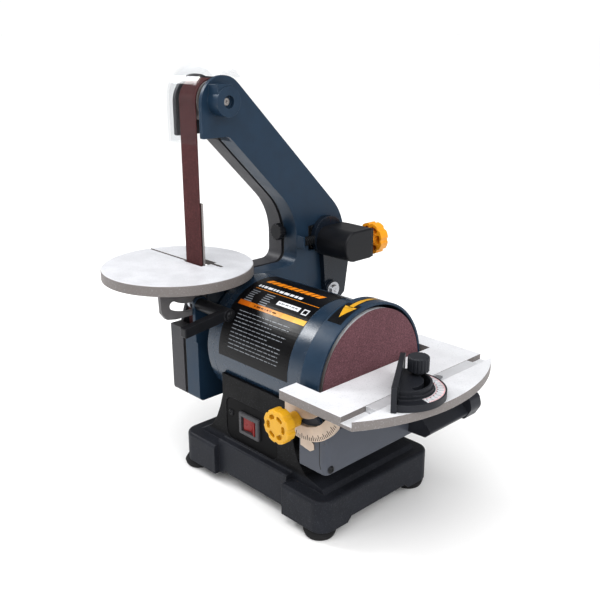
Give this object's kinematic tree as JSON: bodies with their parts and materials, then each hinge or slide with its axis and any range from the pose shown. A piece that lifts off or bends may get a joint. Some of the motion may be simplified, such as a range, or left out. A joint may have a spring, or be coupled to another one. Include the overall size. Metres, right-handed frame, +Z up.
{
  "type": "belt grinder",
  "caption": "Bench belt grinder with a vertical abrasive belt on a raked arm, a disc at the other end of the motor, tilting tables and a miter gauge.",
  "frame": {"origin": "centre of the footprint of the whole machine, on the bench", "axes": "+X along the motor shaft towards the disc, -Y towards the operator, +Z up"},
  "size_m": [0.374, 0.299, 0.3995],
  "materials": {
    "casting": "satin blue-grey paint",
    "cover": "grey paint",
    "base": "black textured paint",
    "steel_paint": "blue-grey paint",
    "table": "fine blasted",
    "diecast": "cast",
    "steel": "turned",
    "zinc": "zinc plated",
    "black_steel": "black",
    "abrasive": "grit",
    "rubber": "matte",
    "yellow": "moulded",
    "black_plastic": "moulded",
    "red": "moulded",
    "clear": "clear moulded",
    "bezel": "moulded",
    "copper_iron": "laminated",
    "scale": "printed"
  },
  "bodies": {
    "frame": {"base_casting": "base", "foot_front_left": "rubber", "foot_front_right": "rubber", "foot_rear_left": "rubber", "foot_rear_right": "rubber", "switch_plate": "black_plastic", "switch_bezel": "bezel", "switch_screw_left": "zinc", "switch_screw_right": "zinc", "motor_can": "casting", "motor_bell_right": "casting", "motor_bell_left": "casting", "motor_stator": "copper_iron", "motor_bearing_right": "steel", "motor_bearing_left": "steel", "disc_guard": "casting", "dust_box": "steel_paint", "dust_box_screw": "zinc", "dust_outlet": "black_plastic", "tilt_pointer": "zinc", "rear_trunnion_pin": "zinc", "arm_casting": "casting", "cover_seal_outer": "rubber", "cover_seal_inner": "rubber", "top_axle": "steel", "sanding_belt": "abrasive", "platen": "steel", "lever_bolt": "zinc", "tension_spring": "black_steel"},
    "cover": {"side_cover": "cover", "cover_screw_upper": "zinc", "cover_screw_lower": "zinc", "inner_knob": "black_plastic", "belt_guard": "clear"},
    "switch": {"switch_rocker": "red"},
    "rotor": {"motor_rotor": "steel", "disc_plate": "table", "abrasive_disc": "abrasive", "drive_pulley": "table"},
    "top_wheel": {"top_idler": "table"},
    "rear_wheel": {"rear_idler": "table"},
    "lever": {"tension_lever": "black_plastic", "tracking_housing": "black_plastic"},
    "cradle": {"axle_cradle": "diecast", "rear_axle": "steel"},
    "tracking": {"tracking_knob": "yellow"},
    "belt_rest": {"belt_table": "table", "belt_table_trunnion": "diecast"},
    "lock": {"lock_lever": "black_plastic", "lock_bolt": "zinc"},
    "disc_rest": {"disc_table": "table", "front_trunnion": "diecast", "rear_trunnion": "diecast"},
    "clamp": {"table_knob": "yellow"},
    "gauge": {"miter_bar": "black_steel", "miter_pivot": "steel", "miter_pointer": "zinc"},
    "gauge_head": {"miter_head": "black_plastic", "miter_scale": "scale"},
    "gauge_knob": {"miter_knob": "black_plastic"}
  },
  "joints": [
    {"name": "cover_pull", "type": "slide", "parent": "frame", "child": "cover", "axis": [-1, 0, 0], "range_m": [0, 0.06]},
    {"name": "switch_rock", "type": "hinge", "parent": "frame", "child": "switch", "pos_m": [-0.0025, -0.075, 0.0715], "axis": [0, 0, 1], "range_deg": [0, 18]},
    {"name": "motor_spin", "type": "hinge", "parent": "frame", "child": "rotor", "pos_m": [-0.0035, -0.0155, 0.1345], "axis": [1, 0, 0], "continuous": true},
    {"name": "top_wheel_spin", "type": "hinge", "parent": "frame", "child": "top_wheel", "pos_m": [-0.1035, -0.04, 0.3665], "axis": [1, 0, 0], "continuous": true},
    {"name": "lever_swing", "type": "hinge", "parent": "frame", "child": "lever", "pos_m": [-0.0775, 0.1052, 0.1524], "axis": [1, 0, 0], "range_deg": [0, 12], "stiffness_Nm_per_rad": 6, "springref_deg": -14.32, "deforming": ["tension_spring", "sanding_belt"]},
    {"name": "tracking_tilt", "type": "hinge", "parent": "lever", "child": "cradle", "pos_m": [-0.0697, 0.1084, 0.2145], "axis": [0, 0, 1], "range_deg": [-1.5, 1.5], "deforming": ["sanding_belt"]},
    {"name": "rear_wheel_spin", "type": "hinge", "parent": "cradle", "child": "rear_wheel", "pos_m": [-0.1035, 0.102, 0.2145], "axis": [1, 0, 0], "continuous": true},
    {"name": "tracking_turn", "type": "hinge", "parent": "lever", "child": "tracking", "pos_m": [-0.0465, 0.1277, 0.21], "axis": [0, 1, 0], "range_deg": [-180, 180]},
    {"name": "belt_rest_tilt", "type": "hinge", "parent": "frame", "child": "belt_rest", "pos_m": [-0.0875, -0.0815, 0.2088], "axis": [1, 0, 0], "range_deg": [0, 45]},
    {"name": "lock_turn", "type": "hinge", "parent": "frame", "child": "lock", "pos_m": [-0.0635, -0.072, 0.1736], "axis": [1, 0, 0], "range_deg": [0, 30]},
    {"name": "disc_rest_tilt", "type": "hinge", "parent": "frame", "child": "disc_rest", "pos_m": [0.084, -0.0155, 0.1448], "axis": [0, 1, 0], "range_deg": [0, 45]},
    {"name": "clamp_turn", "type": "hinge", "parent": "frame", "child": "clamp", "pos_m": [0.078, -0.1055, 0.1139], "axis": [0, 1, 0], "range_deg": [0, 180]},
    {"name": "gauge_slide", "type": "slide", "parent": "disc_rest", "child": "gauge", "axis": [0, 1, 0], "range_m": [-0.06, 0.02]},
    {"name": "gauge_turn", "type": "hinge", "parent": "gauge", "child": "gauge_head", "pos_m": [0.1515, -0.0415, 0.1465], "axis": [0, 0, 1], "range_deg": [-1, 105]},
    {"name": "gauge_knob_turn", "type": "hinge", "parent": "gauge", "child": "gauge_knob", "pos_m": [0.1515, -0.022, 0.1545], "axis": [0, 0, 1], "range_deg": [0, 180]}
  ],
  "couplings": [
    {"joint": "top_wheel_spin", "follows": "motor_spin", "ratio": 2.2694},
    {"joint": "rear_wheel_spin", "follows": "motor_spin", "ratio": 2.3298},
    {"joint": "tracking_tilt", "follows": "tracking_turn", "ratio": 0.008333}
  ]
}
